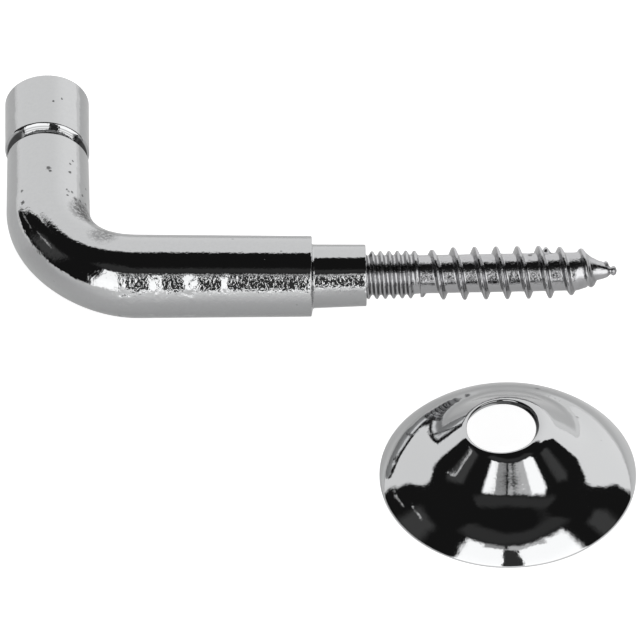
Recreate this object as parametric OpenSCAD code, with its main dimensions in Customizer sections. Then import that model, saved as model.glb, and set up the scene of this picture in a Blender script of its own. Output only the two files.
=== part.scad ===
// Curtain tieback hook: cast hook arm, double-ended hanger bolt and a bell-shaped
// wall rose, laid out on a flat surface as an unfitted kit.
// +X is the axis of the shank towards the screw, +Y runs up the leg, +Z is up.
// The origin is the middle of the step face that the rose seats against.

/* [Hook arm] */
// Diameter of the bar through the bend
bar_d = 9.9; // [9.6:0.05:10.6]
// Diameter of the bar where the shank meets the step
step_d = 9.56; // [9.2:0.02:9.8]
// Distance from the step face back to the middle of the leg
shank_len = 31.25; // [28:0.05:40]
// Height of the leg's tip above the middle of the shank
leg_len = 28.95; // [27:0.05:36]
// Radius of the bend, at the middle of the bar
bend_r = 10.75; // [9:0.05:12]
// Angle that the leg stands at from the shank
bend_angle = 90.6; // [88:0.1:92]
// Diameter of the leg just below the groove
leg_d = 9.68; // [9.4:0.02:9.86]
// Diameter of the cap above the groove
cap_d = 10; // [9.9:0.05:10.5]
// How far the cap sits to the outer side of the leg's axis, as it was cast
cap_shift = 0.08; // [0:0.02:0.2]
// Length of the cap
cap_len = 8.3; // [6:0.1:9]
// Width of the groove at its mouth
groove_w = 1.5; // [1.3:0.05:2.2]
// Depth of the groove
groove_depth = 0.85; // [0.4:0.05:1]
// Slope of the groove's flank on the cap's side, off square to the leg
flank_angle = 35; // [20:1:45]
// How far the groove leans off square, its inner side towards the bend
groove_lean = 4.5; // [0:0.5:6]

/* [Shoulder] */
// Diameter of the shoulder that the rose slides over
shoulder_d = 7.55; // [7.45:0.05:8]
// Length of the shoulder
shoulder_len = 6.4; // [5:0.1:9]
// Angle of the shoulder and the bolt off the shank, from the turning of the cast end
shoulder_lean = 1.5; // [0:0.1:2]

/* [Hanger bolt] */
// Outer diameter of the machine thread
machine_d = 5.75; // [5.5:0.05:6]
// Length of machine thread inside the arm
engaged_len = 11.5; // [8:0.5:14]
// Length of machine thread that shows past the shoulder
machine_out = 6.4; // [4:0.05:8]
// Diameter of the plain neck between the two threads
neck_d = 4.7; // [4.6:0.05:5.4]
// Length of the plain neck
neck_len = 0.2; // [0.2:0.1:3]
// Outer diameter of the wood thread
wood_d = 6.3; // [6:0.05:7]
// Diameter of the core under the wood thread
core_d = 4.55; // [4.2:0.05:4.6]
// Distance between turns of the wood thread
wood_pitch = 2.52; // [2.2:0.02:3]
// Turn at which the wood thread starts, from the top of the bolt
thread_start = 225; // [0:5:355]
// Distance from the shoulder's end to the screw point
bolt_out = 29.7; // [28:0.1:36]
// Length of the tapered point
point_len = 4.6; // [4:0.1:6]

/* [Rose] */
// Diameter of the rose across its rim
rose_d = 30.2; // [29:0.1:32]
// Height that the neck rounds off at, over the surface
rose_h = 8.65; // [8.3:0.05:9.2]
// Thickness of the pressed sheet
sheet_t = 0.75; // [0.6:0.05:1]
// Diameter of the hole in the rose
hole_d = 8.45; // [8.2:0.05:8.5]
// How far the hole sits to one side of the rim's middle
hole_offset = 0.65; // [0:0.05:0.8]
// Place of the rose's hole along the shank's axis
rose_x = 22.4; // [22:0.05:26]
// Distance of the rose in front of the shank's axis
rose_y = 28.1; // [26:0.05:40]

/* [Hidden] */

chrome = [0.55, 0.555, 0.56];
zinc_plate = [0.50, 0.50, 0.51];

$fn = 96;
eps = 0.01;

// The bend's arc runs from the shank to the leg about this centre.
bend_turn = 180 - bend_angle;
bend_x = bend_r - shank_len;
// Length of the leg past the bend, up to its tip.
leg_run = leg_len - bend_r;
groove_mid = leg_run - cap_len - groove_w / 2;
groove_r = leg_d / 2 - groove_depth;
cap_edge = 0.4;
cap_lip = 0.12;
// The wider cap is cast flush with the bar along the underside, so that the arm lies flat.
cap_rise = (cap_d - bar_d) / 2;
step_edge = 0.15;
root_fillet = 0.35;
// The straight runs start a little inside the bend, a hair under its surface.
join_lap = 0.4;
join_step = 0.02;
shoulder_edge = 0.12;

// The lowest line of the bar is the surface that the whole kit lies on.
floor_z = -bar_d / 2;

blind_hole_len = engaged_len + 1;
drill_point = 1.6;
thread_chamfer = 0.6;

// Stations along the bolt, from the step face.
bolt_in = shoulder_len - engaged_len;
neck_start = shoulder_len + machine_out;
wood_start = neck_start + neck_len;
bolt_tip = shoulder_len + bolt_out;
point_start = bolt_tip - point_len;
point_mid = bolt_tip - point_len / 2;
point_mid_r = 1.3;
tip_r = 0.5;
// Share of the wood thread's full height that it starts with.
first_height = 0.5;
// Stations where the crest is last full, where it is worn low, and where it ends.
crest_full = point_start - 3.2;
crest_worn = point_start + 0.4;
crest_end = bolt_tip - 1;
worn_r = wood_d / 2 - 0.6;
crest_end_r = 0.6;

// The rose's skin is a chain of arcs and straight runs from the rim to a flat crown that
// the hole takes away. Each slope is an angle from the flat.
edge_slope = 53;
brow_slope = 45;
dish_slope = 27;
neck_slope = 41.5;
edge_r = 12.5;
brow_r = 11;
neck_base_r = 10;
lip_r = 3.3;
crown_r = 3.3;
rim_land = 0.2;

// Arc points from one angle to another, about a centre.
function arc(cx, cy, r, a0, a1, n) =
    [for (i = [0:n]) let (a = a0 + (a1 - a0) * i / n) [cx + r * cos(a), cy + r * sin(a)]];

// Solid of revolution about +X; a profile point is [distance along X, radius].
module turned(profile) {
    rotate([0, 90, 0]) rotate([0, 0, 90])
        rotate_extrude() polygon([for (p = profile) [p[1], p[0]]]);
}

// Shank of the arm: a slight taper down to the step, whose edge is broken.
module shank() {
    turned([
        [bend_x - join_lap, 0],
        [bend_x - join_lap, bar_d / 2 - join_step],
        [-step_edge, step_d / 2],
        [0, step_d / 2 - step_edge],
        [0, 0]
    ]);
}

// Round bar bent through the corner of the L.
module bend() {
    translate([bend_x, bend_r, 0]) rotate([0, 0, -90 - bend_turn])
        rotate_extrude(angle = bend_turn) translate([bend_r, 0]) circle(d = bar_d);
}

// Places a solid of revolution on the leg's axis; distances count from the end of the bend.
module on_leg() {
    translate([bend_x, bend_r, 0]) rotate([0, 0, bend_angle]) translate([0, bend_r, 0]) children();
}

// Leg from the bend to the middle of the groove, let a little way into the cap.
module leg() {
    core_lap = 0.25;
    on_leg() turned([
        [-join_lap, 0],
        [-join_lap, bar_d / 2 - join_step],
        [groove_mid, leg_d / 2],
        [groove_mid + core_lap, leg_d / 2],
        [groove_mid + core_lap, 0]
    ]);
}

// Cap from the middle of the groove to the tip.
module cap() {
    translate([-cap_shift, 0, cap_rise]) on_leg() turned(concat(
        [[groove_mid, 0], [groove_mid, cap_d / 2]],
        arc(leg_run - cap_edge, cap_d / 2 - cap_edge, cap_edge, 90, 0, 5),
        [[leg_run, 0]]
    ));
}

// What the groove takes away: steep on the leg's side, sloped on the cap's side, where the
// edge of the cap is broken.
module groove() {
    wall_run = 0.1;
    break_angle = 65;
    past = 0.5;
    flank_top = cap_d / 2 - cap_lip;
    flank_x = groove_w / 2 - cap_lip * tan(break_angle);
    on_leg() translate([groove_mid, 0, 0]) rotate([0, 0, -groove_lean]) turned([
        [-groove_w / 2 + wall_run, groove_r],
        [-groove_w / 2, leg_d / 2],
        [-groove_w / 2, cap_d / 2 + past],
        [groove_w / 2 + past * tan(break_angle), cap_d / 2 + past],
        [flank_x, flank_top],
        [flank_x - (flank_top - groove_r) * tan(flank_angle), groove_r]
    ]);
}

// Turned end that carries the rose, with a small fillet at its root.
module shoulder() {
    r = shoulder_d / 2;
    root = -1.5;
    rotate([0, 0, shoulder_lean]) turned([
        [root, 0],
        [root, r + root_fillet],
        [-root_fillet / 2, r + root_fillet],
        [root_fillet, r],
        [shoulder_len - shoulder_edge, r],
        [shoulder_len, r - shoulder_edge],
        [shoulder_len, 0]
    ]);
}

// Blind hole for the bolt, with the cone that the drill leaves.
module blind_hole() {
    mouth = 1;
    rotate([0, 0, shoulder_lean]) translate([shoulder_len, 0, 0]) rotate([0, -90, 0]) {
        translate([0, 0, -mouth]) cylinder(h = blind_hole_len + mouth, d = machine_d);
        translate([0, 0, blind_hole_len - eps]) cylinder(h = drill_point, d1 = machine_d, d2 = 0);
    }
}

module hook_arm() {
    color(chrome) difference() {
        union() {
            shank();
            bend();
            leg();
            cap();
            shoulder();
        }
        groove();
        blind_hole();
    }
}

// Radius of the core at a station along the bolt: full, then a hollow-sided point.
function core_r(x) = lookup(x, [
    [point_start, core_d / 2],
    [point_mid, point_mid_r],
    [bolt_tip, tip_r]
]);

// Radius of the wood thread's crest at a station: it runs in over one turn, and out again
// over the point.
function crest_r(x) =
    let (depth = (wood_d - core_d) / 2,
         run_in = min(1, first_height + (1 - first_height) * (x - wood_start) / wood_pitch))
    min(core_r(x) + depth * run_in, lookup(x, [
        [crest_full, wood_d / 2],
        [crest_worn, worn_r],
        [crest_end, crest_end_r]
    ]));

// Right-hand wood thread: a four-sided ridge wound round the core.
module wood_thread() {
    sides = 20;
    steps = floor((crest_end - wood_start) / wood_pitch * sides);
    root_w = 0.62;
    crest_w = 0.14;
    sunk = 0.25;
    least = 0.3;
    rings = [for (i = [0:steps])
        let (a = thread_start - 360 * i / sides, x = wood_start + wood_pitch * i / sides,
             low = core_r(x) - sunk, high = max(crest_r(x), low + least),
             c = cos(a), s = sin(a))
        [[x - root_w, low * s, low * c], [x - crest_w, high * s, high * c],
         [x + crest_w, high * s, high * c], [x + root_w, low * s, low * c]]];
    points = [for (ring = rings) for (p = ring) p];
    walls = [for (i = [0:steps - 1]) for (k = [0:3])
        let (a = 4 * i + k, b = 4 * i + (k + 1) % 4)
        [a, b, b + 4, a + 4]];
    polyhedron(points, concat([[3, 2, 1, 0]], walls, [[for (k = [0:3]) 4 * steps + k]]));
}

module hanger_bolt() {
    m = machine_d / 2;
    run_out = 0.3;
    color(zinc_plate) rotate([0, 0, shoulder_lean]) {
        turned([
            [bolt_in, 0],
            [bolt_in, m - thread_chamfer],
            [bolt_in + thread_chamfer, m],
            [neck_start - run_out, m],
            [neck_start, neck_d / 2],
            [wood_start, neck_d / 2],
            [wood_start + run_out, core_d / 2],
            [point_start, core_d / 2],
            [point_mid, point_mid_r],
            [bolt_tip, tip_r],
            [bolt_tip, 0]
        ]);
        wood_thread();
    }
}

// Rise and inward run of an arc between two slopes.
function rise(r, a, b) = r * abs(cos(a) - cos(b));
function run(r, a, b) = r * abs(sin(a) - sin(b));

// What the arcs leave over is shared by the two straight runs, dish and neck.
skin_run = rose_d / 2 - crown_r
    - run(edge_r, edge_slope, brow_slope) - run(brow_r, brow_slope, dish_slope)
    - run(neck_base_r, dish_slope, neck_slope) - run(lip_r, neck_slope, 0);
skin_rise = rose_h - rim_land
    - rise(edge_r, edge_slope, brow_slope) - rise(brow_r, brow_slope, dish_slope)
    - rise(neck_base_r, dish_slope, neck_slope) - rise(lip_r, neck_slope, 0);
neck_run = (skin_rise * cos(dish_slope) - skin_run * sin(dish_slope)) / sin(neck_slope - dish_slope);
dish_run = (skin_run - neck_run * cos(neck_slope)) / cos(dish_slope);

// Arc of the skin between two slopes, from a point. A negative radius makes it concave.
function skin_arc(p, r, a, b, n) =
    [for (i = [0:n]) let (s = a + (b - a) * i / n)
        [p[0] - r * (sin(a) - sin(s)), p[1] + r * (cos(s) - cos(a))]];
function last(v) = v[len(v) - 1];

// Outline of the skin from the rim in to its flat crown, moved inwards by a depth.
function skin(depth) =
    let (start = [rose_d / 2 - depth * sin(edge_slope), rim_land - depth * cos(edge_slope)],
         edge = skin_arc(start, edge_r - depth, edge_slope, brow_slope, 3),
         brow = skin_arc(last(edge), brow_r - depth, brow_slope, dish_slope, 5),
         dish = last(brow) + dish_run * [-cos(dish_slope), sin(dish_slope)],
         base = skin_arc(dish, -neck_base_r - depth, dish_slope, neck_slope, 5),
         neck = last(base) + neck_run * [-cos(neck_slope), sin(neck_slope)],
         lip = skin_arc(neck, lip_r - depth, neck_slope, 0, 7))
    concat(edge, brow, base, lip);

// Pressed bell-shaped cover plate. Its hole was pierced a little to one side of the middle,
// so the lip stands higher on one side than on the other.
module rose() {
    outer = skin(0);
    inner = skin(sheet_t);
    below = 1;
    color(chrome) translate([rose_x, -rose_y, floor_z]) difference() {
        translate([hole_offset, 0, 0]) intersection() {
            rotate_extrude() polygon(concat(
                [[rose_d / 2, -below]],
                outer,
                [[0, rose_h], [0, rose_h - sheet_t]],
                [for (i = [len(inner) - 1:-1:0]) inner[i]],
                [[inner[0][0], -below]]
            ));
            cylinder(h = rose_h + below, d = rose_d + below);
        }
        translate([0, 0, -below]) cylinder(h = rose_h + 2 * below, d = hole_d);
    }
}

hook_arm();
hanger_bolt();
rose();
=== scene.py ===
"""Curtain tieback hook: the bent arm, its hanger bolt and its rose, laid out as a kit.

+X runs along the shank towards the screw point, +Y up the leg, +Z up from the floor.
The origin is the middle of the arm's step face. Sizes are in metres.
"""

import math

import bmesh
import bpy
from bpy.props import FloatProperty, FloatVectorProperty, PointerProperty
from bpy.types import Operator, Panel, PropertyGroup
from mathutils import Matrix, Vector, noise


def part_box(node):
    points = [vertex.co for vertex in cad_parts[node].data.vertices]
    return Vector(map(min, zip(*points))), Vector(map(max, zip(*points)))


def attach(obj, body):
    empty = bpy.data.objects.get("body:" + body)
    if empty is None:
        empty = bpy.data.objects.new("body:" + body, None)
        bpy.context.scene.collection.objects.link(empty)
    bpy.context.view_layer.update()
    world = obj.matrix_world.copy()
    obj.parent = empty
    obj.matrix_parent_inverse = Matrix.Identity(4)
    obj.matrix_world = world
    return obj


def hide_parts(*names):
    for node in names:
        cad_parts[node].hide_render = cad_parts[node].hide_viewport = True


bl_info = {
    "name": "Curtain Tieback Hook",
    "version": (1, 0, 0),
    "blender": (4, 5, 0),
    "location": "3D View > Sidebar > Tieback",
    "description": "Builds the arm, hanger bolt and rose of a tieback hook in a small studio",
    "category": "Add Mesh",
}

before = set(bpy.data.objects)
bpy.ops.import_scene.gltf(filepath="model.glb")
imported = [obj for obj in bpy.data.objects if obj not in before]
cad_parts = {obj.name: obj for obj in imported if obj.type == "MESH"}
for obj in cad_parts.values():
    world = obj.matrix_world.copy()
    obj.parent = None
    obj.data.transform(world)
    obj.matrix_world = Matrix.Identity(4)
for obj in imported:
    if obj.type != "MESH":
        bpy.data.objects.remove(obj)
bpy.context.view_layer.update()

MM = 0.001
DEG = math.radians(1)
UP = Vector((0, 0, 1))
AROUND = 144  # vertices in one ring of the arm
ROSE_AROUND = 216  # vertices in one ring of the rose
THREAD_COLUMNS = 96  # vertices in one turn of the bolt
CREST_ANGLE = 44.6  # degrees from +Y round to the bolt's upper outline
WELD = 0.002 * MM  # thread vertices nearer than this are joined
NODE_GAP = 180  # between nodes in the editor
FLOOR_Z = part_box("rose")[0].z
# Swells along the shank: (place along X, height of the skin), in millimetres.
SWELLS = (
    (-25.0, 0.80), (-23.1, 0.80), (-22.4, 0.68), (-21.7, 0.54), (-20.6, 0.43), (-19.4, 0.40),
    (-17.6, 0.59), (-15.4, 0.55), (-13.2, 0.25), (-10.9, 0.21), (-9.7, 0.33), (-0.4, 0.20),
    (0.9, 0.31), (5.6, 0.31), (6.4, 0.40))
# Single pits: (x, y, z, reach), in millimetres; most of the arm's are in its inner corner.
ARM_PITS = (
    (-31.2, 13.2, 4.9, 0.42), (-31.0, 12.7, 4.9, 0.25), (-28.65, 13.2, 4.15, 0.28),
    (-28.65, 14.7, 4.1, 0.22), (-28.3, 15.4, 3.9, 0.2), (-34.3, 10.4, 3.8, 0.3),
    (-34.2, 8.5, 3.8, 0.32), (-30.7, 24.3, 5.0, 0.2), (-29.7, 25.0, 4.7, 0.2),
    (-29.0, 10.1, 4.4, 0.22), (-28.9, 9.2, 4.4, 0.22), (-28.4, 10.0, 4.0, 0.22),
    (-28.0, 9.1, 3.8, 0.4), (-27.9, 8.3, 3.9, 0.28), (-27.4, 9.3, 3.2, 0.34),
    (-27.2, 10.7, 2.8, 0.26), (-26.8, 12.5, 2.0, 0.22), (-26.8, 9.7, 2.2, 0.32),
    (-26.6, 8.5, 2.6, 0.36), (-26.4, 6.9, 3.3, 0.3), (-25.2, 2.8, 4.7, 0.22),
    (-25.9, 4.4, 4.3, 0.26), (-23.8, 2.3, 4.6, 0.3), (-24.4, 2.0, 4.8, 0.24))
BOLT_NICKS = (
    (25.8, 1.4, 2.16, 0.32), (26.1, 1.81, 1.98, 0.3), (28.35, 2.03, 1.87, 0.3),
    (17.05, 1.07, 2.19, 0.2), (34.9, 1.0, 0.9, 0.3))
ROSE_PITS = ((34.0, -25.7, -1.5, 0.12), (35.6, -24.5, -2.8, 0.12), (35.4, -28.4, -2.3, 0.12))
# Wood thread: (station in millimetres, share of the core's radius), then of the ridge's height.
WOOD_CORE = (
    (31.4, 1), (32.4, 0.925), (33.1, 0.68), (33.8, 0.53), (34.5, 0.43), (35.0, 0.33),
    (35.3, 0.17), (35.65, 0.27), (35.95, 0.2))
WOOD_RIDGE = (
    (12.84, 0), (12.96, 0.54), (14.2, 0.7), (16.2, 1), (28.6, 1), (29.6, 0.75),
    (31.0, 0.6), (32.0, 0.5), (33.3, 0.6), (34.2, 0.1), (34.6, 0))


# ---- Settings


class ArmSettings(PropertyGroup):
    """Sizes of the bent arm."""

    bar_diameter: FloatProperty(
        name="Bar", description="Diameter of the bar through the bend", default=9.9 * MM, unit="LENGTH")
    bend_thinning: FloatProperty(
        name="Thinning in the bend", description="Radius that the bar loses halfway round the bend",
        default=0.26 * MM, unit="LENGTH")
    step_diameter: FloatProperty(
        name="Shank at the step", description="Diameter of the shank where it meets the step",
        default=9.56 * MM, unit="LENGTH")
    shank_length: FloatProperty(
        name="Shank length", description="From the step face back to the middle of the leg",
        default=31.25 * MM, unit="LENGTH")
    leg_length: FloatProperty(
        name="Leg length", description="From the middle of the shank up to the leg's tip",
        default=28.95 * MM, unit="LENGTH")
    bend_radius: FloatProperty(
        name="Bend radius", description="Radius of the bend at the middle of the bar",
        default=10.75 * MM, unit="LENGTH")
    bend_angle: FloatProperty(
        name="Bend angle", description="Angle that the leg stands at from the shank",
        default=90.6 * DEG, subtype="ANGLE")
    leg_diameter: FloatProperty(
        name="Leg", description="Diameter of the leg just below the groove",
        default=9.68 * MM, unit="LENGTH")
    cap_diameter: FloatProperty(
        name="Cap", description="Diameter of the cap past the groove", default=10.0 * MM, unit="LENGTH")
    cap_shift: FloatProperty(
        name="Cap shift", description="How far the cap sits outside the leg's axis",
        default=0.08 * MM, unit="LENGTH")
    cap_length: FloatProperty(
        name="Cap length", description="Length of the cap", default=8.3 * MM, unit="LENGTH")
    groove_width: FloatProperty(
        name="Groove width", description="Width of the turned groove at its mouth",
        default=1.5 * MM, unit="LENGTH")
    groove_depth: FloatProperty(
        name="Groove depth", description="Depth of the turned groove", default=0.85 * MM, unit="LENGTH")
    groove_lean: FloatProperty(
        name="Groove lean", description="Lean of the groove, its inner side towards the bend",
        default=4.5 * DEG, subtype="ANGLE")
    shoulder_diameter: FloatProperty(
        name="Shoulder", description="Diameter of the shoulder that carries the rose",
        default=7.55 * MM, unit="LENGTH")
    shoulder_length: FloatProperty(
        name="Shoulder length", description="Length of the shoulder", default=6.4 * MM, unit="LENGTH")
    shoulder_taper: FloatProperty(
        name="Shoulder taper", description="Diameter that the shoulder loses along it",
        default=0.26 * MM, unit="LENGTH")
    lean: FloatProperty(
        name="Lean", description="Angle of the shoulder and bolt off the shank",
        default=1.5 * DEG, subtype="ANGLE")
    lumps: FloatProperty(
        name="Lumps", description="Height of the casting's low lumps under the plate",
        default=0.006 * MM, unit="LENGTH", precision=6)


class BoltSettings(PropertyGroup):
    """Sizes of the hanger bolt."""

    machine_diameter: FloatProperty(
        name="Machine thread", description="Outer diameter of the machine thread",
        default=5.69 * MM, unit="LENGTH")
    machine_root: FloatProperty(
        name="Machine root", description="Diameter at the root of the machine thread",
        default=4.66 * MM, unit="LENGTH")
    machine_pitch: FloatProperty(
        name="Machine pitch", description="Distance between turns of the machine thread",
        default=1.0 * MM, unit="LENGTH")
    engaged: FloatProperty(
        name="Engaged length", description="Length of machine thread inside the arm",
        default=11.5 * MM, unit="LENGTH")
    machine_end: FloatProperty(
        name="Machine end", description="Station where the machine thread has run out",
        default=12.8 * MM, unit="LENGTH")
    wood_height: FloatProperty(
        name="Ridge height", description="Height of the wood thread over its core",
        default=0.865 * MM, unit="LENGTH")
    wood_core: FloatProperty(
        name="Wood core", description="Diameter of the core under the wood thread",
        default=4.55 * MM, unit="LENGTH")
    wood_pitch: FloatProperty(
        name="Wood pitch", description="Distance between turns of the wood thread",
        default=2.522 * MM, unit="LENGTH")
    tip: FloatProperty(
        name="Point", description="Station of the screw point", default=36.08 * MM, unit="LENGTH")


class RoseSettings(PropertyGroup):
    """Sizes of the rose."""

    diameter: FloatProperty(
        name="Rim", description="Diameter of the rose across its rim", default=30.2 * MM, unit="LENGTH")
    height: FloatProperty(
        name="Height", description="Height of the rounded neck over the floor",
        default=8.65 * MM, unit="LENGTH")
    sheet: FloatProperty(
        name="Sheet", description="Thickness of the pressed sheet", default=0.75 * MM, unit="LENGTH")
    hole: FloatProperty(
        name="Hole", description="Diameter of the hole in the neck", default=8.45 * MM, unit="LENGTH")
    offset: FloatProperty(
        name="Hole offset", description="From the rim's middle to the hole's middle",
        default=0.65 * MM, unit="LENGTH")
    place: FloatVectorProperty(
        name="Place", description="Middle of the hole on the floor",
        default=(22.4 * MM, -28.1 * MM), size=2, unit="LENGTH")


class FinishSettings(PropertyGroup):
    """Colours of the two metals."""

    chrome: FloatVectorProperty(
        name="Chrome", description="Colour of the polished chrome plate",
        default=(0.55, 0.555, 0.56), size=3, subtype="COLOR", min=0, max=1)
    zinc: FloatVectorProperty(
        name="Zinc", description="Colour of the bright zinc plate",
        default=(0.50, 0.50, 0.51), size=3, subtype="COLOR", min=0, max=1)


class StudioSettings(PropertyGroup):
    """Camera and floor."""

    elevation: FloatProperty(
        name="Elevation", description="Height of the camera over the horizon",
        default=45.45 * DEG, subtype="ANGLE")
    distance: FloatProperty(
        name="Distance", description="From the camera to the middle of the kit", default=3.0, unit="LENGTH")
    floor_colour: FloatVectorProperty(
        name="Floor", description="Colour of the floor",
        default=(0.42, 0.42, 0.42), size=3, subtype="COLOR", min=0, max=1)


# ---- Node helpers


class Wiring:
    """Short calls for placing and joining nodes in one tree."""

    def __init__(self, tree):
        self.tree = tree

    def add(self, kind, label="", inputs=None, **settings):
        """Adds a node; its inputs are given by name or number, as values or as sockets."""
        node = self.tree.nodes.new(kind)
        node.location = (NODE_GAP * len(self.tree.nodes), 0)
        node.label = label
        for key, value in settings.items():
            setattr(node, key, value)
        for key, value in (inputs or {}).items():
            self.feed(node.inputs[key], value)
        return node

    def feed(self, socket, value):
        if isinstance(value, bpy.types.NodeSocket):
            self.tree.links.new(value, socket)
        elif value is not None:
            socket.default_value = value

    def math(self, operation, a, b=None, c=None, label="", clamp=False):
        settings = {"operation": operation, "use_clamp": clamp}
        return self.add("ShaderNodeMath", label, {0: a, 1: b, 2: c}, **settings).outputs[0]

    def times(self, a, b, label=""):
        return self.math("MULTIPLY", a, b, label=label)

    def minus(self, a, b, label=""):
        return self.math("SUBTRACT", a, b, label=label)

    def scaled(self, value, scale, start, label=""):
        """Value times scale, plus start."""
        return self.math("MULTIPLY_ADD", value, scale, start, label)

    def largest(self, value, *others, label=""):
        for other in others:
            value = self.math("MAXIMUM", value, other, label=label)
        return value

    def ramp(self, value, low, high, label="", start=0.0, end=1.0):
        """Smooth step of value, from start at low to end at high."""
        inputs = {"Value": value, "From Min": low, "From Max": high, "To Min": start, "To Max": end}
        return self.add("ShaderNodeMapRange", label, inputs, interpolation_type="SMOOTHSTEP").outputs[0]

    def fall(self, value, low, high, label="", start=1.0, end=0.0):
        return self.ramp(value, low, high, label, start, end)

    def window(self, value, low, high, soft, label=""):
        """One between low and high, fading to nothing over soft on each side."""
        rise = self.ramp(value, low - soft / 2, low + soft / 2, label)
        return self.times(rise, self.fall(value, high - soft / 2, high + soft / 2, label))

    def curve(self, value, points, label, handle="VECTOR"):
        """Value read off a curve: straight runs between the points, or with AUTO smooth ones."""
        node = self.add("ShaderNodeFloatCurve", label, {"Value": value})
        curve = node.mapping.curves[0]
        while len(curve.points) > 2:
            curve.points.remove(curve.points[-1])
        curve.points[0].location = points[0]
        curve.points[1].location = points[-1]
        for p in points[1:-1]:
            curve.points.new(*p)
        for p in curve.points:
            p.handle_type = handle
        node.mapping.update()
        return node.outputs[0]

    def split(self, vector):
        """The three parts of a vector."""
        return self.add("ShaderNodeSeparateXYZ", inputs={0: vector}).outputs

    def vector(self, operation, a, b):
        """The number that an operation on two vectors gives."""
        node = self.add("ShaderNodeVectorMath", inputs={0: a, 1: b}, operation=operation)
        return node.outputs["Value"]

    def dot(self, vector, direction):
        return self.vector("DOT_PRODUCT", vector, direction)

    def facing(self, direction):
        """One where the surface faces a direction, minus one where it faces away."""
        return self.dot(self.add("ShaderNodeNewGeometry").outputs["Normal"], direction)

    def around(self, vector, place, near, far, label, start=1.0, end=0.0):
        """Goes from start near a place to end far from it."""
        return self.ramp(self.vector("DISTANCE", vector, place), near, far, label, start, end)

    def noise(self, vector, size, label, detail=2.0, rough=0.5, distortion=0.0):
        """Noise whose features are about size across."""
        inputs = {"Vector": vector, "Scale": 1 / size, "Detail": detail, "Roughness": rough,
                  "Distortion": distortion}
        return self.add("ShaderNodeTexNoise", label, inputs).outputs[0]

    def bump(self, height, depth, under=None, share=1.0):
        inputs = {"Strength": share, "Distance": depth, "Height": height, "Normal": under}
        return self.add("ShaderNodeBump", inputs=inputs).outputs[0]

    def dent(self, holes, depth, under):
        return self.bump(self.times(holes, -1.0), depth, under)


def mm(*values):
    return [v * MM for v in values]


def fresh(kind, name):
    """New material or world with an empty node tree, and its wiring."""
    made = kind.new(name)
    made.use_nodes = True
    made.node_tree.nodes.clear()
    return made, Wiring(made.node_tree)


def fresh_metal(name, metal, roughness):
    """New metal, with its wiring, its shader and the object's coordinates."""
    material, w = fresh(bpy.data.materials, name)
    colour = (*getattr(bpy.context.scene.tieback_finish, metal), 1)
    shader = w.add("ShaderNodeBsdfPrincipled", "Plate",
                   {"Base Color": colour, "Metallic": 1, "Roughness": roughness})
    w.add("ShaderNodeOutputMaterial", inputs={"Surface": shader.outputs[0]})
    return material, w, shader, w.add("ShaderNodeTexCoord").outputs["Object"]


def darken(w, shader, share):
    """Takes a share of the colour away from the plate, for dull or marked spots and for painted shade."""
    plate = shader.inputs["Base Color"]
    inputs = {0: plate.default_value[:3], "Scale": w.minus(1.0, share)}
    node = w.add("ShaderNodeVectorMath", "Darker where dull or painted shade", inputs, operation="SCALE")
    w.feed(plate, node.outputs[0])


def spots(w, coords, places, grain):
    """Small pits with ragged edges, each given as x, y, z and its reach, in millimetres."""
    ragged = w.minus(grain, 0.5)
    together = 0.0
    for *place, size in places:
        size *= MM
        away = w.scaled(ragged, size * 1.5, w.vector("DISTANCE", coords, mm(*place)))
        together = w.largest(together, w.fall(away, size * 0.4, size, "Pit"))
    return together


def pits(w, coords, size, share, label, wider=1.0):
    """Little round pits: one in a share of the cells of a Voronoi pattern."""
    cells = w.add("ShaderNodeTexVoronoi", label, {"Vector": coords, "Scale": 1 / size}).outputs
    pick = w.add("ShaderNodeSeparateColor", inputs={0: cells["Color"]}).outputs
    wide = w.scaled(pick[1], 0.16 * wider, 0.06 * wider)
    dip = w.fall(cells["Distance"], 0.02, wide, label)
    return w.times(dip, w.math("LESS_THAN", pick[0], share))


# ---- Finishes


def shank_swells(w, coords, x):
    """Low swells that the polishing left across the shank: the height of the skin along it."""
    first = SWELLS[0][0]
    run = SWELLS[-1][0] - first
    uneven = w.minus(w.noise(coords, 1.3 * MM, "Crooked swells", 1.0), 0.5)
    bent = w.scaled(uneven, 1.5 * MM, x)
    along = w.scaled(bent, 1 / (run * MM), -first / run)
    points = [((place - first) / run, height) for place, height in SWELLS]
    return w.curve(along, points, "Swells along the shank", "AUTO")


def corner_skin(w, coords):
    """Crowded pits and dull patches in the inner corner, out of the polishing wheel's reach."""
    near = w.around(coords, mm(-27.7, 9.0, 3.7), 0.8 * MM, 3.0 * MM, "Inner corner")
    dots = w.times(pits(w, coords, 0.62 * MM, 0.85, "Crowded pits", 2.2), near)
    upper = w.around(coords, mm(-26.6, 7.2, 3.0), 1.2 * MM, 3.2 * MM, "Upper smudge")
    lower = w.around(coords, mm(-24.6, 2.6, 4.7), 0.4 * MM, 2.6 * MM, "Lower smudge", 0.7)
    patches = w.noise(coords, 0.42 * MM, "Patches", 4.0, 0.75)
    patches = w.ramp(patches, 0.34, 0.58, "Patches", 0.15)
    return dots, w.times(patches, w.largest(upper, lower))


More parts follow.
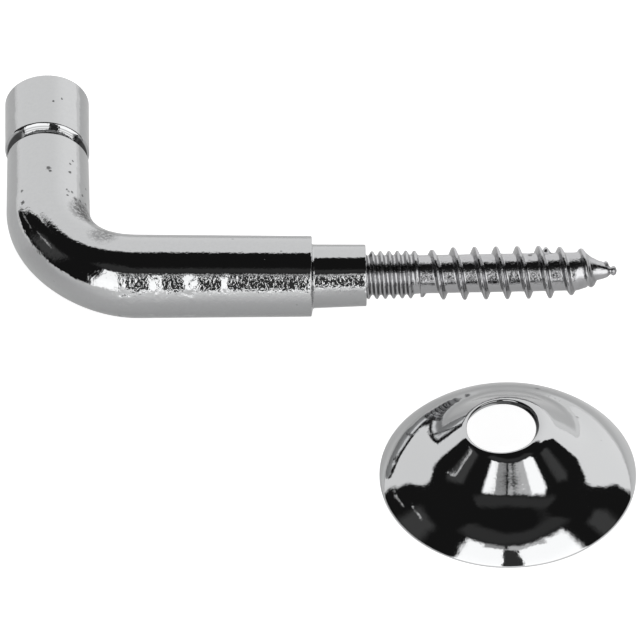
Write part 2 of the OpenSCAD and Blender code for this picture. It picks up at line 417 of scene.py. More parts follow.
def groove_shade_and_marks(w, coords):
    """Painted shade in the groove at both sides of the leg, and the marks of the turning."""
    arm = bpy.context.scene.tieback_arm
    _, tip, up_leg, across = leg_frame(arm)
    sideways = w.minus(w.dot(coords, across), tip.dot(across))
    from_tip = w.minus(tip.dot(up_leg), w.dot(coords, up_leg), "Distance from the tip")
    from_tip = w.scaled(sideways, -math.tan(arm.groove_lean), from_tip)
    inside = w.window(from_tip, arm.cap_length + 0.05 * MM,
                      arm.cap_length + arm.groove_width - 0.1 * MM, 0.1 * MM, "In the groove")
    # Painted shade: the groove darkens towards both sides of the leg.
    sides = w.ramp(w.math("ABSOLUTE", sideways), 2.7 * MM, 3.2 * MM, "At its sides")
    turning = w.math("SINE", w.times(from_tip, math.tau / (0.14 * MM)), label="Turning marks")
    marks = w.times(inside, w.scaled(turning, 0.22, 0.34))
    return w.largest(w.times(w.times(inside, sides), 0.86), marks)


def arm_chrome():
    """Polished chrome over a cast bar: orange peel, pits, painted shade in the groove, a rough inner
    corner.
    """
    polished, unpolished = 0.02, 0.24
    material, w, shader, coords = fresh_metal("arm chrome", "chrome", polished)
    x = w.split(coords)[0]
    # The underside of the shank missed the finest wheel, so its skin stayed coarse.
    beneath = w.fall(w.facing(UP), 0.68, 0.76, "Underneath")
    bend = w.around(coords, mm(-31.9, 2.0, 3.2), 1.2 * MM, 2.8 * MM, "Outside of the bend", 0.6)
    coarse = w.largest(w.ramp(x, -25 * MM, -23 * MM, "Towards the step"), bend)
    depth = w.scaled(w.times(coarse, beneath), 0.75, 0.25, "Depth of the peel")
    peel = w.noise(coords, 0.35 * MM, "Orange peel", 1.2, 0.5, 0.7)
    grain = w.noise(coords, 0.24 * MM, "Grain of the casting", 2.0, 0.6)
    normal = w.bump(w.noise(coords, 2.6 * MM, "Waves left by the polishing", 1.0), 0.032 * MM)
    normal = w.bump(shank_swells(w, coords, x), 1.0 * MM, normal, beneath)
    normal = w.bump(w.times(peel, depth), 0.038 * MM, normal)
    normal = w.bump(grain, 0.003 * MM, normal)
    holes = w.largest(pits(w, coords, 1.9 * MM, 0.12, "Fine pits"), spots(w, coords, ARM_PITS, grain))
    dots, smudge = corner_skin(w, coords)
    normal = w.dent(holes, 0.02 * MM, normal)
    w.feed(shader.inputs["Normal"], w.dent(dots, 0.02 * MM, normal))
    skin = w.largest(w.times(dots, 0.75), w.times(smudge, 0.88), label="Unpolished skin")
    w.feed(shader.inputs["Roughness"], w.scaled(skin, unpolished - polished, polished))
    haze = w.times(w.noise(coords, 0.45 * MM, "Haze in the plate", 4.0, 0.7), 0.09)
    # The colour is darkened by the unpolished skin, haze, pits and the painted shade in the groove.
    darken(w, shader, w.largest(skin, haze, w.times(holes, 0.75), groove_shade_and_marks(w, coords)))
    return material


def rose_chrome():
    """Polished chrome over pressed sheet, smoother than the casting, with a bare pierced wall."""
    rose = bpy.context.scene.tieback_rose
    material, w, shader, coords = fresh_metal("rose chrome", "chrome", 0.04)
    peel = w.noise(coords, 0.32 * MM, "Orange peel", 2.0, 0.55, 0.3)
    normal = w.bump(w.noise(coords, 3.2 * MM, "Waves left by the polishing", 1.0), 0.03 * MM)
    normal = w.bump(peel, 0.0035 * MM, normal)
    holes = w.largest(pits(w, coords, 2.4 * MM, 0.1, "Specks in the plate"),
                      spots(w, coords, ROSE_PITS, peel))
    w.feed(shader.inputs["Normal"], w.dent(holes, 0.02 * MM, normal))
    # Only the wall of the hole comes this near to its middle.
    flat = w.add("ShaderNodeVectorMath", "Onto the floor", {0: coords, 1: (1, 1, 0)},
                 operation="MULTIPLY").outputs[0]
    hole_r = rose.hole / 2
    wall = w.around(flat, (*rose.place, 0), hole_r + 0.01 * MM, hole_r + 0.06 * MM, "Pierced wall")
    darken(w, shader, w.largest(w.times(wall, 0.8), w.times(holes, 0.6)))
    return material


def bolt_zinc():
    """Bright zinc over rolled steel, with the small creases of the rolling and painted shade on the
    thread's flanks.
    """
    material, w, shader, coords = fresh_metal("bolt zinc", "zinc", 0.1)
    grain = w.noise(coords, 0.14 * MM, "Grain of the zinc", 2.0, 0.6)
    normal = w.bump(w.noise(coords, 0.36 * MM, "Creases from rolling", 3.0, 0.65, 0.8), 0.036 * MM)
    normal = w.bump(grain, 0.0012 * MM, normal)
    holes = w.largest(pits(w, coords, 1.5 * MM, 0.3, "Nicks"), spots(w, coords, BOLT_NICKS, grain))
    w.feed(shader.inputs["Normal"], w.dent(holes, 0.06 * MM, normal))
    # Painted shade on the thread's flanks, more on those facing the head, strongest low down.
    lean = bpy.context.scene.tieback_arm.lean
    facing = w.facing((math.cos(lean), math.sin(lean), 0))
    # Painted shade under the bolt: full at the bottom, about a third of it at the top.
    low = w.fall(w.dot(coords, UP), -0.8 * MM, 2.0 * MM, "Lower half", 1.0, 0.35)
    flank = w.largest(w.ramp(facing, 0.2, 0.8, "Towards the point", 0.0, 0.45),
                      w.fall(facing, -0.72, -0.5, "Towards the head", 0.75))
    darken(w, shader, w.largest(w.times(flank, low), w.times(holes, 0.6)))
    return material


# ---- Mesh helpers


def sin(angle):
    return math.sin(angle * DEG)


def cos(angle):
    return math.cos(angle * DEG)


def arc(cx, cy, r, start, end, steps):
    """Points of an arc from one angle to another, in degrees."""
    angles = [start + (end - start) * i / steps for i in range(steps + 1)]
    return [(cx + r * cos(angle), cy + r * sin(angle)) for angle in angles]


def turns(count):
    """Angles of even steps round a circle."""
    return [math.tau * i / count for i in range(count)]


def ring(bm, middle, along, radius):
    """Circle of vertices about an axis in the XY plane, or one vertex where it has no radius."""
    if radius < 1e-7:
        return [bm.verts.new(middle)]
    side = Vector((-along.y, along.x, 0))
    return [bm.verts.new(middle + radius * (side * math.cos(a) + UP * math.sin(a)))
            for a in turns(AROUND)]


def skin_over(bm, rings):
    """Faces between neighbouring rings; a ring of one vertex closes the end."""
    for low, high in zip(rings, rings[1:]):
        count = max(len(low), len(high))
        for i in range(count):
            j = (i + 1) % count
            corners = [low[i % len(low)], low[j % len(low)], high[j % len(high)], high[i % len(high)]]
            corners = list(dict.fromkeys(corners))
            if len(corners) > 2:
                bm.faces.new(corners)


def spaced(low, high, gap):
    """Stations from low to high, about gap apart, without the two ends."""
    count = max(1, round(abs(high - low) / gap))
    return [low + (high - low) * i / count for i in range(1, count)]


def add_object(name, data):
    """New object at the origin, linked to the scene."""
    made = bpy.data.objects.new(name, data)
    bpy.context.scene.collection.objects.link(made)
    return made


def finish_piece(bm, name, material, slot, *nodes):
    """Turns the mesh into a smooth piece that stands for its CAD node."""
    bmesh.ops.remove_doubles(bm, verts=bm.verts, dist=1e-7)
    bmesh.ops.recalc_face_normals(bm, faces=bm.faces)
    mesh = bpy.data.meshes.new(name)
    bm.to_mesh(mesh)
    bm.free()
    mesh.shade_smooth()
    mesh.materials.append(material)
    piece = add_object(name, mesh)
    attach(piece, "root")
    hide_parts(*nodes)
    return piece


# ---- Arm


def leg_profile(arm):
    """Half outline of the leg as (distance from the tip, radius), tip first."""
    cap_r, leg_r = arm.cap_diameter / 2, arm.leg_diameter / 2
    edge, lip, foot = 0.4 * MM, 0.25 * MM, 0.12 * MM
    brink = arm.cap_length - lip
    beside = 0.03 * MM  # from a rounded edge to the ring that keeps the skin beyond it straight
    floor_r = leg_r - arm.groove_depth
    points = [(0, 0), (0, 0.6 * MM), (0, cap_r * 0.4), (0, cap_r * 0.7), (0, cap_r - edge - 0.05 * MM)]
    points += arc(edge, cap_r - edge, edge, 180, 90, 10)
    points += [(edge + beside, cap_r)]
    points += [(x, cap_r) for x in spaced(edge, brink, 0.3 * MM)]
    points += [(brink - beside, cap_r)]
    # The flank on the cap's side slopes and carries fine turning marks; the other side is steep.
    slope, marks = 35.0, 9
    points += arc(brink, cap_r - lip, lip, 90, slope, 5)
    x, r = points[-1]
    drop = r - floor_r - 0.04 * MM
    for i in range(1, marks + 1):
        proud = 0.004 * MM * (i % 2)
        points.append((x + drop * i / marks * math.tan(slope * DEG) + proud * cos(slope),
                       r - drop * i / marks + proud * sin(slope)))
    mouth = arm.cap_length + arm.groove_width
    points += [(points[-1][0] + 0.05 * MM, floor_r), (mouth - 0.3 * MM, floor_r),
               (mouth - 0.22 * MM, floor_r + 0.07 * MM)]
    points += arc(mouth, leg_r - foot, foot, 165, 90, 6)
    return points


def leg_frame(arm):
    """Centre of the bend, middle of the leg's tip, and the directions up and across the leg."""
    centre = Vector((arm.bend_radius - arm.shank_length, arm.bend_radius, 0))
    up_leg = Vector((math.cos(arm.bend_angle), math.sin(arm.bend_angle), 0))
    across = Vector((up_leg.y, -up_leg.x, 0))
    foot = centre - arm.bend_radius * across
    return centre, foot + (arm.leg_length - arm.bend_radius) * up_leg, up_leg, across


def turned_end(arm):
    """Half outline of the shoulder and of the blind hole in it, as (station, radius)."""
    r, long = arm.shoulder_diameter / 2, arm.shoulder_length
    root, bevel, mouth = 0.3 * MM, 0.1 * MM, 2.9 * MM
    end_r = r - arm.shoulder_taper / 2
    depth = long - bpy.context.scene.tieback_bolt.engaged - 1.0 * MM
    points = arc(root + 0.02 * MM, r + root, root, 180, 270, 8)
    points += [(x, r + (end_r - r) * x / long) for x in spaced(root, long - bevel, 0.25 * MM)]
    points += [(long - bevel - 0.02 * MM, end_r)] + arc(long - bevel, end_r - bevel, bevel, 90, 0, 6)
    points += [(long, end_r - bevel - 0.03 * MM)]
    # Countersunk mouth, wall and drilled end of the hole.
    points += [(long, mouth + 0.22 * MM), (long - 0.2 * MM, mouth), (long - 1.5 * MM, mouth),
               (depth, mouth), (depth - 1.6 * MM, 0)]
    return points


def build_arm():
    arm = bpy.context.scene.tieback_arm
    bar_r, step_r = arm.bar_diameter / 2, arm.step_diameter / 2
    centre, tip, up_leg, across = leg_frame(arm)
    leg_run = arm.leg_length - arm.bend_radius
    bm = bmesh.new()
    rings = []

    def lay(middle, along, radius):
        rings.append(ring(bm, middle, along, radius))

    def lay_leg(x, radius, aside=0.0, rise=0.0):
        """Ring at a distance from the tip, which leans with the groove where it is near it."""
        reach, fade = 3.0 * MM, 2.2 * MM
        lay(tip - up_leg * x + Vector((-aside, 0, rise)), -up_leg, radius)
        share = min(1, (x - arm.cap_length + reach) / fade,
                    (arm.cap_length + arm.groove_width + reach - x) / fade)
        for v in rings[-1]:
            v.co -= up_leg * math.tan(arm.groove_lean) * max(0, share) * (v.co - tip).dot(across)

    def lay_shank(x, radius):
        lay(Vector((x, 0, 0)), Vector((1, 0, 0)), radius)

    # The cap sits a little outwards, and is flush with the bar underneath.
    outline = leg_profile(arm)
    for x, r in outline:
        shifted = max(0, 1 - max(0, x - arm.cap_length) / (0.6 * MM))
        lay_leg(x, r, arm.cap_shift * shifted, shifted * (arm.cap_diameter - arm.bar_diameter) / 2)
    groove_end, leg_r = outline[-1]
    for x in spaced(groove_end, leg_run, 0.25 * MM):
        lay_leg(x, leg_r + (bar_r - leg_r) * (x - groove_end) / (leg_run - groove_end))
    turn = math.pi - arm.bend_angle
    steps = round(arm.bend_radius * turn / (0.24 * MM))
    for i in range(steps + 1):
        turned = Matrix.Rotation(turn * i / steps, 3, "Z")
        thin = arm.bend_thinning * math.sin(math.pi * i / steps) ** 2
        lay(centre + turned @ (tip - leg_run * up_leg - centre), turned @ -up_leg, bar_r - thin)
    start, edge = centre.x, 0.15 * MM
    for x in spaced(start, -edge, 0.25 * MM):
        lay_shank(x, bar_r + (step_r - bar_r) * (x - start) / -start)
    lay_shank(-edge - 0.02 * MM, step_r)
    for x, r in arc(-edge, step_r - edge, edge, 90, 0, 6):
        lay_shank(x, r)
    lay_shank(0, step_r - edge - 0.03 * MM)
    # The turned end stands at a small lean.
    lean = Vector((math.cos(arm.lean), math.sin(arm.lean), 0))
    for x, r in turned_end(arm):
        lay(lean * x, lean, r)
    skin_over(bm, rings)
    bm.normal_update()
    outside = [(v, v.normal.copy()) for verts in rings for v in verts if v.co.x < 0]
    for v, normal in outside:
        shape = noise.noise(v.co / (1.7 * MM)) + 0.5 * noise.noise(v.co / (0.8 * MM) + Vector((7, 3, 1)))
        v.co -= normal * arm.lumps * (shape + 1.0)
    return finish_piece(bm, "bent_arm", arm_chrome(), "polished_chrome", "hook_arm")


# ---- Bolt


def thread_tree(name, core, ridge):
    """Geometry Nodes tree for a tube that carries a helical ridge.

    core and ridge are outlines of (share of the length, share of the full size): the core's
    radius along the tube, and the ridge's height along it. The grid is one strip a pitch wide,
    wound round the axis, so a row of vertices lies on the crest.
    """
    tree = bpy.data.node_groups.new(name, "GeometryNodeTree")
    face = tree.interface
    face.new_socket("Geometry", in_out="OUTPUT", socket_type="NodeSocketGeometry")
    wanted = {
        "NodeSocketFloat": ("Start", "End", "Pitch", "First Crest", "Turns", "Start Angle",
                            "Core Radius", "Ridge Height", "Crest Half Width", "Root Half Width",
                            "Roughness Height"),
        "NodeSocketInt": ("Rows", "Columns"),
        "NodeSocketMaterial": ("Material",),
    }
    for kind, labels in wanted.items():
        for label in labels:
            face.new_socket(label, in_out="INPUT", socket_type=kind)
    w = Wiring(tree)
    given = w.add("NodeGroupInput").outputs
    grid = w.add("GeometryNodeMeshGrid", "One strip, a pitch wide",
                 {"Size X": 2.0, "Size Y": 1.0, "Vertices X": given["Rows"],
                  "Vertices Y": given["Columns"]})
    across, around, _ = w.split(w.add("GeometryNodeInputPosition").outputs[0])
    turned = w.times(w.math("ADD", around, 0.5), given["Turns"], "Turns so far")
    crest = w.scaled(turned, given["Pitch"], given["First Crest"], "Crest station")
    # Rows crowd together on the ridge, where the outline bends most.
    spread = w.scaled(w.times(across, across), 0.62, 0.38)
    aside = w.times(w.times(across, spread), w.times(given["Pitch"], 0.5))
    station = w.largest(w.math("ADD", crest, aside), given["Start"])
    station = w.math("MINIMUM", station, given["End"], label="Station along the bolt")
    length = w.minus(given["End"], given["Start"])

    def outline(points, value, full, label):
        share = w.math("DIVIDE", w.minus(value, given["Start"]), length, clamp=True)
        return w.times(w.curve(share, points, label), full)

    core_r = outline(core, station, given["Core Radius"], "Core along the bolt")
    high = outline(ridge, crest, given["Ridge Height"], "Ridge along the bolt")
    shape = w.fall(w.math("ABSOLUTE", aside), given["Crest Half Width"], given["Root Half Width"],
                   "Ridge outline")
    radius = w.scaled(high, shape, core_r, "Radius")
    angle = w.scaled(turned, math.tau, given["Start Angle"], "Angle")
    sine, cosine = w.math("SINE", angle), w.math("COSINE", angle)

    def point(r):
        parts = {"X": station, "Y": w.times(cosine, r), "Z": w.times(sine, r)}
        return w.add("ShaderNodeCombineXYZ", inputs=parts).outputs[0]

    def then(kind, geometry, label="", **inputs):
        return w.add(kind, label, {"Geometry": geometry, **inputs}).outputs[0]

    uneven = w.minus(w.noise(point(radius), 0.9 * MM, "Uneven rolling"), 0.62)
    rough = w.times(w.times(uneven, given["Roughness Height"]), w.ramp(core_r, 0.0, 0.3 * MM))
    worn = w.largest(w.math("ADD", radius, rough), 0.0)
    skin = then("GeometryNodeSetPosition", grid.outputs["Mesh"], Position=point(worn))
    skin = then("GeometryNodeMergeByDistance", skin, "Weld the strip's turns", Distance=WELD)
    skin = then("GeometryNodeSetShadeSmooth", skin)
    skin = then("GeometryNodeRealizeInstances", skin)
    skin = then("GeometryNodeSetMaterial", skin, Material=given["Material"])
    w.add("NodeGroupOutput", inputs={0: skin})
    return tree


def wind_thread(name, core, ridge, top_crest, inputs):
    """Runs the thread tree once and gives back its plain mesh. top_crest is a station where the
    crest stands at CREST_ANGLE."""
    tree = thread_tree(name, core, ridge)
    step = 360 / THREAD_COLUMNS
    pitch, start, end = inputs["Pitch"], inputs["Start"], inputs["End"]
    angle = math.floor((CREST_ANGLE + 360 * (start - pitch / 2 - top_crest) / pitch) / step) * step
    first = top_crest + pitch * (angle - CREST_ANGLE) / 360
    columns = math.ceil((end + pitch / 2 - first) / pitch * THREAD_COLUMNS)
    inputs = {**inputs, "First Crest": first, "Start Angle": math.radians(angle % 360),
              "Turns": columns / THREAD_COLUMNS, "Columns": columns + 1}
    holder = add_object(name, bpy.data.meshes.new(name))
    modifier = holder.modifiers.new(name, "NODES")
    modifier.node_group = tree
    for item in tree.interface.items_tree:
        if item.in_out == "INPUT":
            modifier[item.identifier] = inputs[item.name]
    graph = bpy.context.evaluated_depsgraph_get()
    mesh = bpy.data.meshes.new_from_object(holder.evaluated_get(graph), depsgraph=graph)
    holder.modifiers.remove(modifier)
    bpy.data.objects.remove(holder)
    return mesh


def swell(bm, place, reach, height):
    """Pushes the skin near a place outwards from the bolt's axis; all in millimetres."""
    middle = Vector(place) * MM
    for v in bm.verts:
        share = 1 - ((v.co - middle).length / (reach * MM)) ** 2
        if share > 0:
            v.co += Vector((0, v.co.y, v.co.z)).normalized() * height * MM * share ** 1.5


def build_bolt():
    arm, bolt = bpy.context.scene.tieback_arm, bpy.context.scene.tieback_bolt
    zinc = bolt_zinc()
    inner = arm.shoulder_length - bolt.engaged + 0.05 * MM
    neck, tip = bolt.machine_end, bolt.tip
    root, core = bolt.machine_root / 2, bolt.wood_core / 2
    run = neck - inner
    machine = wind_thread(
        "machine thread",
        core=[(0, 0.93), (0.02, 1), (1 - 0.9 * MM / run, 1), (1, core / root)],
        ridge=[(0, 0), (0.03, 1), (1 - 0.5 * MM / run, 1), (1 - 0.18 * MM / run, 0), (1, 0)],
        top_crest=7.16 * MM,
        inputs={"Start": inner, "End": neck, "Pitch": bolt.machine_pitch, "Core Radius": root,
                "Ridge Height": (bolt.machine_diameter - bolt.machine_root) / 2,
                "Crest Half Width": 0.05 * MM, "Root Half Width": 0.46 * MM,
                "Roughness Height": 0.05 * MM, "Rows": 13, "Material": zinc})

    def shares(outline):
        """The stations as shares of the wood thread's length."""
        return [((station * MM - neck) / (tip - neck), size) for station, size in outline]

    wood = wind_thread(
        "wood thread",
        core=[(0, 1), *shares(WOOD_CORE), (1, 0)],
        ridge=[(0, 0), *shares(WOOD_RIDGE), (1, 0)],
        top_crest=16.78 * MM,
        inputs={"Start": neck, "End": tip, "Pitch": bolt.wood_pitch, "Core Radius": core,
                "Ridge Height": bolt.wood_height, "Crest Half Width": 0.07 * MM,
                "Root Half Width": 0.54 * MM, "Roughness Height": 0.07 * MM, "Rows": 29,
                "Material": zinc})
    bm = bmesh.new()
    for mesh in (machine, wood):
        bm.from_mesh(mesh)
        bpy.data.meshes.remove(mesh)
    bmesh.ops.remove_doubles(bm, verts=bm.verts, dist=WELD)
    bmesh.ops.holes_fill(bm, edges=[e for e in bm.edges if e.is_boundary], sides=0)
    bmesh.ops.triangulate(bm, faces=[f for f in bm.faces if len(f.verts) > 4])
    # The point was rolled a little off the axis.
    start, end, fade = 31.2, 35.2, 1.8
    for v in bm.verts:
        station = v.co.x / MM
        v.co.y += 0.2 * MM * max(0, min(1, station - start, (end - station) / fade))
    # A burr and two nicks near the last full turns, and a lump behind the tip.
    swell(bm, (27.75, 1.65, 1.65), 0.6, 0.72)
    swell(bm, (25.8, 1.6, 1.6), 0.3, -0.25)
    swell(bm, (26.4, 1.8, 1.4), 0.3, -0.22)
    swell(bm, (34.9, 0.5, 0.6), 0.5, 0.34)
    bmesh.ops.transform(bm, matrix=Matrix.Rotation(arm.lean, 4, "Z"), verts=bm.verts)
    return finish_piece(bm, "hanger_screw", zinc, "bright_zinc", "hanger_bolt")


# ---- Rose


def rose_skin(rose, depth, fine):
    """Half outline of the rose's skin from the rim in to its flat crown, as (radius, height),
    with the whole skin moved inwards by depth."""
    edge, brow, dish, neck = 53, 45, 27, 41.5
    edge_r, brow_r, base_r, lip_r = 12.5 * MM, 11.0 * MM, 10.0 * MM, 3.3 * MM
    land, crown_r = 0.2 * MM, 3.3 * MM
    corners = ((edge_r, edge, brow), (brow_r, brow, dish), (base_r, dish, neck), (lip_r, neck, 0))
    across = rose.diameter / 2 - crown_r - sum(r * abs(sin(a) - sin(b)) for r, a, b in corners)
    up = rose.height - land - sum(r * abs(cos(a) - cos(b)) for r, a, b in corners)
    neck_run = (up * cos(dish) - across * sin(dish)) / sin(neck - dish)
    dish_run = (across - neck_run * cos(neck)) / cos(dish)
    points = [(rose.diameter / 2 - depth * sin(edge), land - depth * cos(edge))]

    def follow(r, a, b):
        x, y = points[-1]
        steps = max(3, round(abs(b - a) / fine))
        slopes = [a + (b - a) * i / steps for i in range(1, steps + 1)]
        points.extend((x - r * (sin(a) - sin(s)), y + r * (cos(s) - cos(a))) for s in slopes)

    def straight(length, slope):
        x, y = points[-1]
        count = max(2, round(length / (0.3 * MM)))
        runs = [length * i / count for i in range(1, count + 1)]
        points.extend((x - run * cos(slope), y + run * sin(slope)) for run in runs)

    follow(edge_r - depth, edge, brow)
    follow(brow_r - depth, brow, dish)
    straight(dish_run, dish)
    follow(-base_r - depth, dish, neck)
    straight(neck_run, neck)
    follow(lip_r - depth, neck, 0)
    return points


def height_at(skin, r):
    """Height of a skin outline at a distance from the rim's middle."""
    for (ra, za), (rb, zb) in zip(skin, skin[1:]):
        if rb <= r <= ra:
            return za + (zb - za) * (ra - r) / (ra - rb)
    return skin[-1][1]


def build_rose():
    rose = bpy.context.scene.tieback_rose
    outer, inner = rose_skin(rose, 0, 1.0), rose_skin(rose, rose.sheet, 2.5)
    rim_r, hole_r = rose.diameter / 2 - 0.004 * MM, rose.hole / 2
    middle = Vector((rose.place[0] + rose.offset, rose.place[1], FLOOR_Z))
    bm = bmesh.new()
    rings = []

    def lay(radius, height, aside=0.0):
        """Ring about a point aside from the rim's middle; height follows the distance from it."""
        verts = []
        for a in turns(ROSE_AROUND):
            flat = Vector((radius * math.sin(a) - aside, -radius * math.cos(a), 0))
            z = height(flat.length) if callable(height) else height
            verts.append(bm.verts.new(middle + flat + UP * max(z, 0)))
        rings.append(verts)

    def between(share, drop=0.0, lift=0.0):
        """Height in the sheet: drop under the outside at share 0, lift over the inside at 1."""
        def height(r):
            return (height_at(outer, r) - drop) * (1 - share) + (height_at(inner, r) + lift) * share
        return height

    # The rim's edge and the outside, up to where the skin turns towards the hole.
    lip, turn = hole_r + 0.34 * MM, 5.9 * MM
    for r, z in ((rim_r - 0.1 * MM, 0), (rim_r - 0.03 * MM, 0.03 * MM), (rim_r, 0.1 * MM)):
        lay(r, z)
    for r, z in outer:
        if r > turn:
            lay(min(r, rim_r), z)
    # The hole was pierced a little to one side, so the rings close in on its own middle.
    steps = 14
    for i in range(steps + 1):
        share = i / steps
        lay(turn + (lip - turn) * share, between(0), rose.offset * share)
    # Rounded lip, and a wall whose lower edge was dragged further aside by the punch.
    drag, wall_top = 0.3 * MM, 0.27
    for r, drop in ((0.28, 0.005), (0.19, 0.03), (0.1, 0.085), (0.03, 0.17), (0.0, wall_top)):
        lay(hole_r + r * MM, between(0, drop * MM), rose.offset)
    for share in (0.35, 0.7, 1.0):
        lay(hole_r, between(share, wall_top * MM, 0.06 * MM), rose.offset + drag * share)
    lay(hole_r + 0.06 * MM, between(1), rose.offset + drag)
    lay(hole_r + 0.9 * MM, between(1), rose.offset + 0.2 * MM)
    for r, z in reversed(inner):
        if r > turn + 0.2 * MM and z > 0:
            lay(r, z)
    (ra, za), (rb, zb) = next(pair for pair in zip(inner, inner[1:]) if pair[1][1] > 0)
    foot = ra + (rb - ra) * za / (za - zb)
    lay(foot, 0)
    lay(foot + 0.1 * MM, 0)
    skin_over(bm, rings + rings[:1])
    return finish_piece(bm, "wall_rose", rose_chrome(), "polished_chrome", "rose")


# ---- Stage


def build_dome():
    """White backdrop behind, bright panels in front, and dark ceiling and side walls."""
    bpy.context.scene.world, w = fresh(bpy.data.worlds, "studio dome")
    toward = w.add("ShaderNodeTexCoord").outputs["Generated"]
    x, y, z = w.split(toward)
    # Bearings and heights are in degrees; bearing 0 is towards the camera.
    wobble = w.times(w.minus(w.noise(toward, 0.22, "Uneven edges"), 0.5), 9.0)
    rise = w.scaled(w.math("ARCSINE", z), 1 / DEG, wobble, "Height over the horizon")
    bearing = w.math("ARCTAN2", x, w.times(y, -1.0))
    bearing = w.scaled(bearing, 1 / DEG, wobble, "Bearing from the camera")
    off = w.math("ABSOLUTE", bearing)
    # Backdrop: white, and higher straight behind than at its ends.
    top = w.ramp(off, 118.0, 172.0, "Top of the backdrop", 51.0, 64.5)
    back = w.times(w.ramp(off, 117.5, 120.5, "Ends of the backdrop"),
                   w.fall(w.minus(rise, top), -3.0, 3.0))
    level = w.ramp(x, 0.1, 0.6, "Brighter end of the backdrop", 1.03, 1.16)
    # Front panels, brighter low down, with the camera standing between them. High up the stand
    # is narrow, and the panels beside it are dimmer.
    high = w.ramp(rise, 46.0, 47.5, "High up")
    stand = w.times(w.window(bearing, -5.0, 12.0, 1.0, "Camera stand"), w.minus(1.0, high))
    stand = w.times(stand, w.ramp(rise, 2.0, 7.0))
    head = w.times(w.window(bearing, -3.6, -0.6, 0.8, "Camera head"), high)
    dimmer = w.times(w.window(bearing, -24.0, 40.0, 4.0, "Dimmer middle"), high)
    dimmer = w.times(dimmer, w.ramp(bearing, -6.0, 4.0, "Dimmer at the left", 0.74, 0.58))
    front = w.window(bearing, -42.0, 63.0, 6.0, "Front panels")
    for share in (w.fall(rise, 49.5, 53.5, "Top of the panels"),
                  w.scaled(w.largest(stand, head), -0.98, 1.0),
                  w.minus(1.0, dimmer),
                  w.ramp(rise, 18.0, 38.0, "Brighter low down", 1.85, 1.7)):
        front = w.times(front, share)
    light = w.scaled(back, level, front)
    # Lit or grey cards between two bearings and two heights; slant is the rise per degree.
    broken = w.ramp(w.noise(toward, 0.05, "Broken edges"), 0.46, 0.52, end=0.7)
    for label, left, right, bottom, top, soft, strength, slant in (
            ("Ceiling over the camera", -60, 80, 54, 68, 8, 0.035, 0),
            ("Grey things at the left wall", -97, -74, 8, 40, 8, 0.06, 0),
            ("Low bright edge", -119, -104, 9, 11.4, 1.4, broken, 0.53),
            ("High bright edge", -102, -86, 29, 31.4, 1.4, broken, 0.18),
            ("Grey things at the right wall", 80, 97, 10, 37, 8, 0.06, 0)):
        height = w.scaled(w.minus(bearing, left), -slant, rise)
        shape = w.times(w.window(bearing, left, right, soft, label), w.window(height, bottom, top, soft))
        light = w.scaled(shape, strength, light)
    light = w.math("ADD", light, 0.012)
    seen = w.add("ShaderNodeLightPath").outputs["Is Camera Ray"]
    pick = w.scaled(w.minus(1.0, light), seen, light)
    shade = w.add("ShaderNodeBackground", inputs={"Color": (1, 1, 1, 1), "Strength": pick})
    w.add("ShaderNodeOutputWorld", inputs={"Surface": shade.outputs[0]})


def pale_floor():
    """Plain sheet that glows nearly white to the camera. In the metal its glow is painted: a painted shadow
    close to the pieces, and painted light far behind them, as bright as the backdrop."""
    material, w = fresh(bpy.data.materials, "pale floor")
    colour = (*bpy.context.scene.tieback_studio.floor_colour, 1)
    sheet = w.add("ShaderNodeBsdfDiffuse", inputs={"Color": colour})
    rays = w.add("ShaderNodeLightPath").outputs
    place = w.add("ShaderNodeTexCoord").outputs["Object"]
    x, y, _ = w.split(place)
    # Painted shadow in the metal: the floor's glow is dimmer towards the pieces, more so left of the bend
    # and beside the rose.
    near = w.curve(w.ramp(y, -60 * MM, 20 * MM),
                   ((0, 0.64), (0.125, 0.62), (0.55, 0.435), (0.65, 0.335), (0.775, 0.31),
                    (0.875, 0.33), (1, 0.33)), "Front to back")
    painted_shadow_by_bend = w.largest(w.ramp(x, -50 * MM, -28 * MM, "Left of the bend", 0.74),
                        w.ramp(y, 0.0, 8 * MM))
    painted_shadow_by_rose = w.largest(w.around(place, (23 * MM, -28 * MM, FLOOR_Z), 15.5 * MM, 24 * MM,
                                 "Beside the rose", 0.6, 1.0),
                        w.ramp(x, 6 * MM, 18 * MM, "Left of the rose"))
    near = w.times(near, w.times(painted_shadow_by_bend, painted_shadow_by_rose))
    # Painted light in the metal: the glow is brighter far behind the leg and behind the rose.
    far = w.around(place, (-31 * MM, 20 * MM, FLOOR_Z), 72 * MM, 90 * MM, "Behind the leg", 0.0, 1.0)
    beside = w.times(w.ramp(x, 6 * MM, 22 * MM, "Behind the rose"), w.ramp(y, 3 * MM, 20 * MM))
    painted_glow_behind = w.times(w.largest(far, beside), w.ramp(y, 0.0, 30 * MM))
    painted_glow_in_metal = w.scaled(painted_glow_behind, 0.27, near)
    # The camera sees an even glow; only glossy and transmission rays see the painted shadow and light.
    mirrored = w.math("ADD", rays["Is Glossy Ray"], rays["Is Transmission Ray"])
    glow = w.scaled(rays["Is Camera Ray"], 0.9, w.times(mirrored, painted_glow_in_metal))
    lit = w.add("ShaderNodeEmission", inputs={"Strength": glow})
    both = w.add("ShaderNodeAddShader", inputs={0: sheet.outputs[0], 1: lit.outputs[0]})
    w.add("ShaderNodeOutputMaterial", inputs={"Surface": both.outputs[0]})
    return material


def build_floor():
    mesh = bpy.data.meshes.new("studio floor")
    half = 15.0
    corners = [(half * x, half * y, FLOOR_Z) for x, y in ((-1, -1), (1, -1), (1, 1), (-1, 1))]
    mesh.from_pydata(corners, [], [(0, 1, 2, 3)])
    mesh.materials.append(pale_floor())
    floor = add_object("studio floor", mesh)


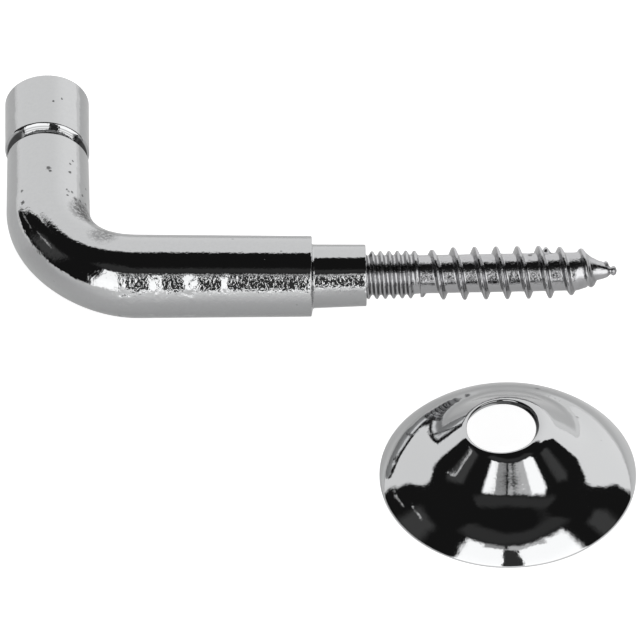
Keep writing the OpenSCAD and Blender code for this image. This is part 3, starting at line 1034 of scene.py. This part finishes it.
def build_camera():
    studio = bpy.context.scene.tieback_studio
    view_width = 75.66 * MM
    right, down = 0.971 * MM, 5.163 * MM  # from the origin to the middle of the view
    data = bpy.data.cameras.new("studio camera")
    camera = add_object("studio camera", data)
    bpy.context.scene.camera = camera
    data.sensor_width = 36.0
    data.lens = data.sensor_width * studio.distance / view_width
    data.clip_start, data.clip_end = 0.1, 60.0
    back = Vector((0, -math.cos(studio.elevation), math.sin(studio.elevation)))
    upward = Vector((0, math.sin(studio.elevation), math.cos(studio.elevation)))
    camera.location = Vector((right, 0, 0)) - upward * down + back * studio.distance
    camera.rotation_euler = (math.pi / 2 - studio.elevation, 0, 0)


def build_lamp():
    data = bpy.data.lights.new("soft ceiling lamp", "AREA")
    data.shape, data.size, data.energy = "DISK", 1.2, 9.0
    lamp = add_object("soft ceiling lamp", data)
    lamp.location = (-0.3, 0.2, 1.6)
    lamp.rotation_euler = (-0.12, -0.18, 0)
    lamp.visible_glossy = False
    lamp.visible_camera = False


# ---- Operators


class TIEBACK_OT_arm(Operator):
    """Make the bent arm with its groove, step and shoulder"""

    bl_idname = "tieback.arm"
    bl_label = "Bent Arm"

    def execute(self, context):
        build_arm()
        return {"FINISHED"}


class TIEBACK_OT_bolt(Operator):
    """Make the hanger bolt with its two threads"""

    bl_idname = "tieback.bolt"
    bl_label = "Hanger Bolt"

    def execute(self, context):
        build_bolt()
        return {"FINISHED"}


class TIEBACK_OT_rose(Operator):
    """Make the pressed rose"""

    bl_idname = "tieback.rose"
    bl_label = "Rose"

    def execute(self, context):
        build_rose()
        return {"FINISHED"}


class TIEBACK_OT_stage(Operator):
    """Make the floor, the studio dome, the lamp and the camera"""

    bl_idname = "tieback.stage"
    bl_label = "Studio"

    def execute(self, context):
        build_floor()
        build_dome()
        build_lamp()
        build_camera()
        return {"FINISHED"}


class TIEBACK_PT_panel(Panel):
    """Lists the pieces and their sizes"""

    bl_idname = "TIEBACK_PT_panel"
    bl_label = "Tieback Hook"
    bl_space_type = "VIEW_3D"
    bl_region_type = "UI"
    bl_category = "Tieback"

    def draw(self, context):
        for label, holder, settings, operator in PARTS:
            box = self.layout.box()
            box.label(text=label)
            for name in settings.__annotations__:
                box.prop(getattr(context.scene, holder), name)
            if operator:
                box.operator(operator)


# Label, name of the settings on the scene, their class, and operator.
PARTS = (
    ("Arm", "tieback_arm", ArmSettings, "tieback.arm"),
    ("Bolt", "tieback_bolt", BoltSettings, "tieback.bolt"),
    ("Rose", "tieback_rose", RoseSettings, "tieback.rose"),
    ("Finish", "tieback_finish", FinishSettings, None),
    ("Studio", "tieback_studio", StudioSettings, "tieback.stage"),
)
CLASSES = (*(part[2] for part in PARTS), TIEBACK_OT_arm, TIEBACK_OT_bolt, TIEBACK_OT_rose,
           TIEBACK_OT_stage, TIEBACK_PT_panel)


def register():
    for cls in CLASSES:
        bpy.utils.register_class(cls)
    for _, holder, settings, _ in PARTS:
        setattr(bpy.types.Scene, holder, PointerProperty(type=settings))


def unregister():
    for _, holder, _, _ in PARTS:
        delattr(bpy.types.Scene, holder)
    for cls in reversed(CLASSES):
        bpy.utils.unregister_class(cls)


def main():
    register()
    bpy.context.scene.view_settings.view_transform = "Standard"
    bpy.ops.tieback.stage()
    bpy.ops.tieback.arm()
    bpy.ops.tieback.bolt()
    bpy.ops.tieback.rose()


if __name__ == "__main__":
    main()
